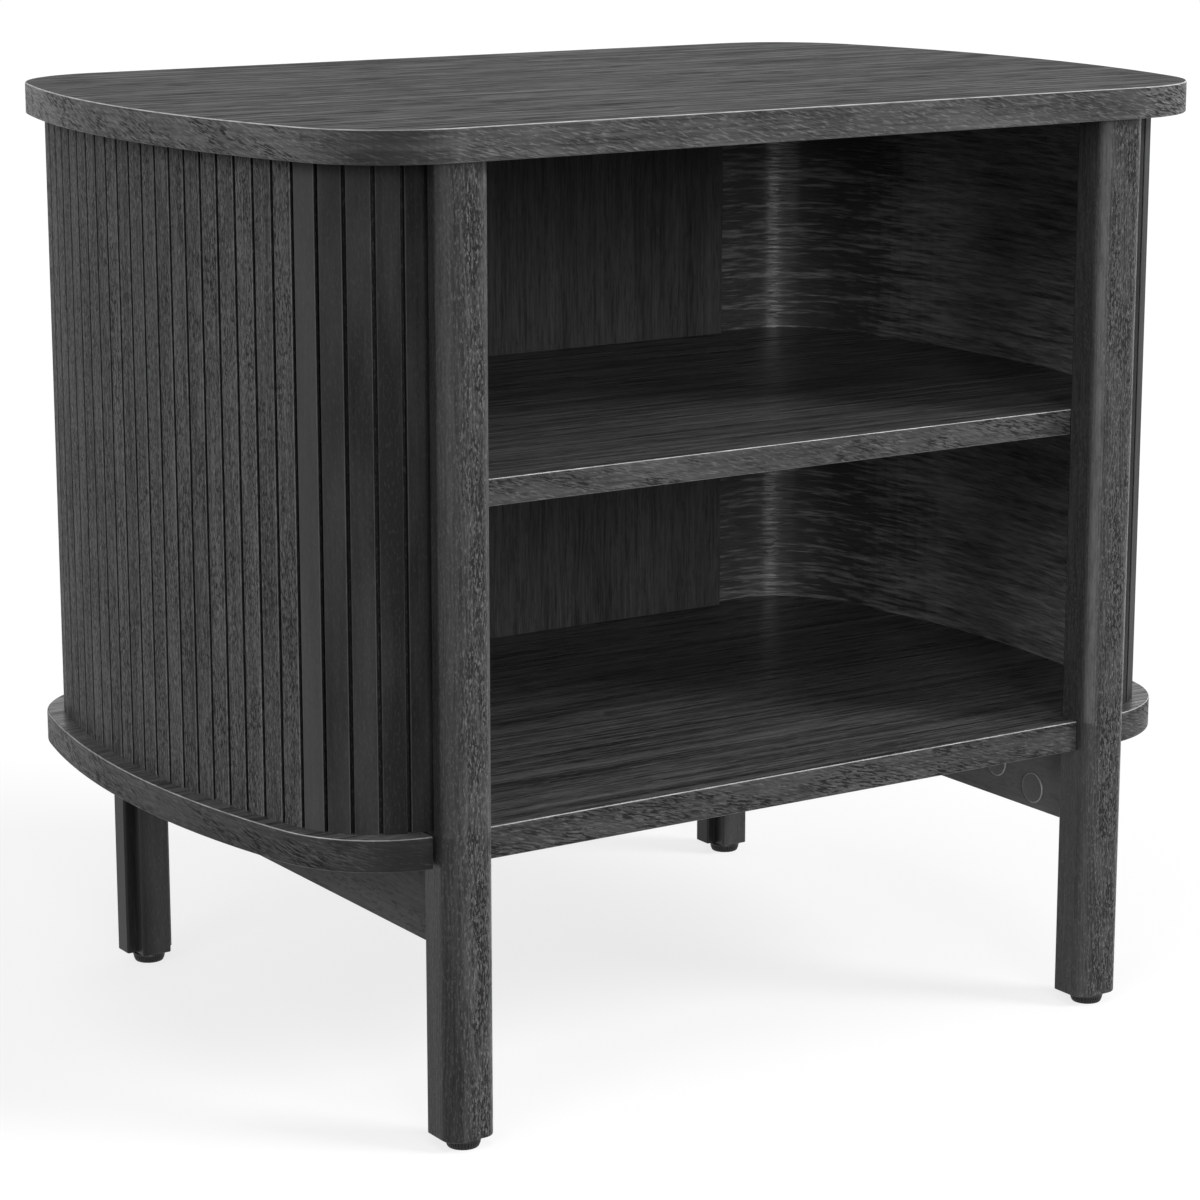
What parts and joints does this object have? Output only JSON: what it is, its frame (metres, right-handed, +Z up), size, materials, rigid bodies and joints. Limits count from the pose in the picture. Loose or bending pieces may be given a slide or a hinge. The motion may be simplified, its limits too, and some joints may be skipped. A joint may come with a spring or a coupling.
{
  "type": "open-shelf nightstand",
  "caption": "Open nightstand with bowed top and base boards, slatted curved side walls, a middle shelf, posts and rear legs on adjustable levelling feet.",
  "frame": {"origin": "on the floor, under the middle of the top board", "axes": "+Z up, +X to the right as seen from the open front, -Y out of the open front"},
  "size_m": [0.6, 0.4, 0.52],
  "materials": {
    "top_veneer": "charcoal-black stained veneer, satin",
    "base_veneer": "charcoal-black stained veneer, satin",
    "shelf_veneer": "charcoal-black stained veneer, satin",
    "back_veneer": "black stained veneer, satin, upright grain",
    "inner_veneer": "black stained bent plywood, satin, level grain",
    "slat_veneer": "charcoal-black stained slats, satin, upright grain",
    "post_wood": "charcoal-black stained solid wood, satin, upright grain",
    "rail_wood": "charcoal-black stained solid wood, satin",
    "cam_metal": "black, with a light worn rim",
    "foot_plastic": "black moulded plastic, ribbed rim",
    "zinc_steel": "zinc plated",
    "dowel_wood": "bare beech"
  },
  "bodies": {
    "cabinet": {"top_board": "top_veneer", "base_board": "base_veneer", "middle_shelf": "shelf_veneer", "back_panel": "back_veneer", "left_side_shell": "inner_veneer", "right_side_shell": "inner_veneer", "left_slatted_skin": "slat_veneer", "right_slatted_skin": "slat_veneer", "front_left_leg": "post_wood", "front_right_leg": "post_wood", "rear_left_leg": "post_wood", "rear_right_leg": "post_wood", "left_side_rail": "rail_wood", "right_side_rail": "rail_wood", "left_front_leg_cam": "cam_metal", "left_front_base_cam": "cam_metal", "left_rear_leg_cam": "cam_metal", "left_rear_base_cam": "cam_metal", "right_front_leg_cam": "cam_metal", "right_front_base_cam": "cam_metal", "right_rear_leg_cam": "cam_metal", "right_rear_base_cam": "cam_metal", "left_front_leg_bolt": "zinc_steel", "left_front_base_bolt": "zinc_steel", "left_rear_leg_bolt": "zinc_steel", "left_rear_base_bolt": "zinc_steel", "right_front_leg_bolt": "zinc_steel", "right_front_base_bolt": "zinc_steel", "right_rear_leg_bolt": "zinc_steel", "right_rear_base_bolt": "zinc_steel", "front_left_leg_dowel": "dowel_wood", "front_right_leg_dowel": "dowel_wood", "rear_left_leg_dowel": "dowel_wood", "rear_right_leg_dowel": "dowel_wood", "front_left_shelf_dowel": "dowel_wood", "front_right_shelf_dowel": "dowel_wood", "rear_left_shelf_dowel": "dowel_wood", "rear_right_shelf_dowel": "dowel_wood", "front_left_insert_nut": "zinc_steel", "front_right_insert_nut": "zinc_steel", "rear_left_insert_nut": "zinc_steel", "rear_right_insert_nut": "zinc_steel"},
    "front_left_foot": {"front_left_foot_pad": "foot_plastic"},
    "front_right_foot": {"front_right_foot_pad": "foot_plastic"},
    "rear_left_foot": {"rear_left_foot_pad": "foot_plastic"},
    "rear_right_foot": {"rear_right_foot_pad": "foot_plastic"},
    "front_left_screw": {"front_left_foot_stud": "zinc_steel"},
    "front_right_screw": {"front_right_foot_stud": "zinc_steel"},
    "rear_left_screw": {"rear_left_foot_stud": "zinc_steel"},
    "rear_right_screw": {"rear_right_foot_stud": "zinc_steel"}
  },
  "joints": [
    {"name": "front_left_foot_height", "type": "slide", "parent": "cabinet", "child": "front_left_foot", "axis": [0, 0, -1], "range_m": [0, 0.008]},
    {"name": "front_right_foot_height", "type": "slide", "parent": "cabinet", "child": "front_right_foot", "axis": [0, 0, -1], "range_m": [0, 0.008]},
    {"name": "rear_left_foot_height", "type": "slide", "parent": "cabinet", "child": "rear_left_foot", "axis": [0, 0, -1], "range_m": [0, 0.008]},
    {"name": "rear_right_foot_height", "type": "slide", "parent": "cabinet", "child": "rear_right_foot", "axis": [0, 0, -1], "range_m": [0, 0.008]},
    {"name": "front_left_stud_turn", "type": "hinge", "parent": "front_left_foot", "child": "front_left_screw", "pos_m": [-0.20801, -0.183, 0.006], "axis": [0, 0, -1], "range_deg": [0, 2881]},
    {"name": "front_right_stud_turn", "type": "hinge", "parent": "front_right_foot", "child": "front_right_screw", "pos_m": [0.20801, -0.183, 0.006], "axis": [0, 0, -1], "range_deg": [0, 2881]},
    {"name": "rear_left_stud_turn", "type": "hinge", "parent": "rear_left_foot", "child": "rear_left_screw", "pos_m": [-0.20801, 0.177, 0.006], "axis": [0, 0, -1], "range_deg": [0, 2881]},
    {"name": "rear_right_stud_turn", "type": "hinge", "parent": "rear_right_foot", "child": "rear_right_screw", "pos_m": [0.20801, 0.177, 0.006], "axis": [0, 0, -1], "range_deg": [0, 2881]}
  ],
  "couplings": [
    {"joint": "front_left_stud_turn", "follows": "front_left_foot_height", "rad_per_m": 6283.2},
    {"joint": "front_right_stud_turn", "follows": "front_right_foot_height", "rad_per_m": 6283.2},
    {"joint": "rear_left_stud_turn", "follows": "rear_left_foot_height", "rad_per_m": 6283.2},
    {"joint": "rear_right_stud_turn", "follows": "rear_right_foot_height", "rad_per_m": 6283.2}
  ]
}
